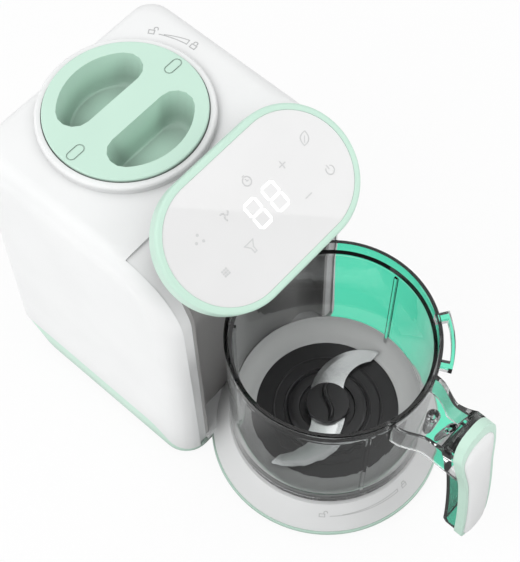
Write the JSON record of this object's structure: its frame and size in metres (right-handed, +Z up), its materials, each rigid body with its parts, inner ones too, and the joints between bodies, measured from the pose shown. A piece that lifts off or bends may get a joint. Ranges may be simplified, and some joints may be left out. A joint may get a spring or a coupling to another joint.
{
  "type": "baby food processor",
  "caption": "Countertop baby food processor: tall housing with tank lid and sloped touch panel, clear blender jar with side handle and S-shaped blade on a round station.",
  "frame": {"origin": "on the table under the middle of the whole appliance, handle included", "axes": "+Z up, +Y from the jar to the housing's back, +X to the right seen from the front"},
  "size_m": [0.1558, 0.3239, 0.2382],
  "materials": {
    "white_plastic": "satin moulded",
    "mint_plastic": "satin moulded",
    "grey_plastic": "fine texture",
    "dark_plastic": "satin",
    "clear_plastic": "clear, polished",
    "screen_glass": "polished, printed on its back",
    "blade_steel": "fine ground",
    "steel": "satin",
    "aluminium": "cast",
    "bronze": "sintered",
    "rubber": "matt",
    "silicone": "matt, translucent",
    "board": "solder mask"
  },
  "bodies": {
    "housing": {"main_housing": "white_plastic", "front_fascia": "grey_plastic", "bottom_tray": "mint_plastic", "jar_deck": "white_plastic", "head_tray": "white_plastic", "panel_bezel": "mint_plastic", "touch_glass": "screen_glass", "display_board": "board", "display_module": "white_plastic", "power_board": "board", "boiler": "steel", "boiler_gasket": "silicone", "heater_plate": "aluminium", "thermostat": "dark_plastic", "steam_tube": "silicone", "steam_nozzle": "silicone", "motor": "aluminium", "motor_bracket": "steel", "drive_belt": "rubber", "shaft_bush": "bronze", "cord_inlet": "dark_plastic", "feet": "rubber", "board_screws": "steel", "motor_screws": "steel", "boiler_screws": "steel"},
    "drive": {"drive_pulley": "white_plastic", "drive_shaft": "steel", "drive_coupling": "dark_plastic"},
    "motor_rotor": {"motor_shaft": "steel", "motor_pulley": "white_plastic"},
    "lid_seal": {"lid_gasket": "silicone"},
    "lid": {"lid_cap": "mint_plastic", "lid_skirt": "white_plastic"},
    "jar_bearing": {"jar_bush": "bronze", "jar_seal": "rubber"},
    "jar": {"jar": "clear_plastic", "jar_base": "dark_plastic", "handle_frame": "mint_plastic", "handle_cover": "white_plastic", "handle_screws": "steel"},
    "blade_set": {"blade_hub": "dark_plastic", "blade": "blade_steel", "blade_spindle": "steel", "driven_coupling": "dark_plastic"}
  },
  "joints": [
    {"name": "drive_spin", "type": "hinge", "parent": "housing", "child": "drive", "pos_m": [0, -0.045, 0.01], "axis": [0, 0, 1], "continuous": true},
    {"name": "motor_spin", "type": "hinge", "parent": "housing", "child": "motor_rotor", "pos_m": [0, 0.065, 0.05], "axis": [0, 0, 1], "continuous": true},
    {"name": "lid_lift", "type": "slide", "parent": "housing", "child": "lid_seal", "axis": [0, 0, 1], "range_m": [0, 0.06]},
    {"name": "lid_twist", "type": "hinge", "parent": "lid_seal", "child": "lid", "pos_m": [0, 0.1075, 0.205], "axis": [0, 0, 1], "range_deg": [0, 30]},
    {"name": "jar_lift", "type": "slide", "parent": "housing", "child": "jar_bearing", "axis": [0, 0, 1], "range_m": [0, 0.036]},
    {"name": "jar_twist", "type": "hinge", "parent": "jar_bearing", "child": "jar", "pos_m": [0, -0.045, 0.03], "axis": [0, 0, 1], "range_deg": [-45, 0]},
    {"name": "blade_spin", "type": "hinge", "parent": "jar_bearing", "child": "blade_set", "pos_m": [0, -0.045, 0.035], "axis": [0, 0, 1], "continuous": true}
  ],
  "couplings": [
    {"joint": "blade_spin", "follows": "drive_spin", "ratio": 1},
    {"joint": "motor_spin", "follows": "drive_spin", "ratio": 3}
  ]
}
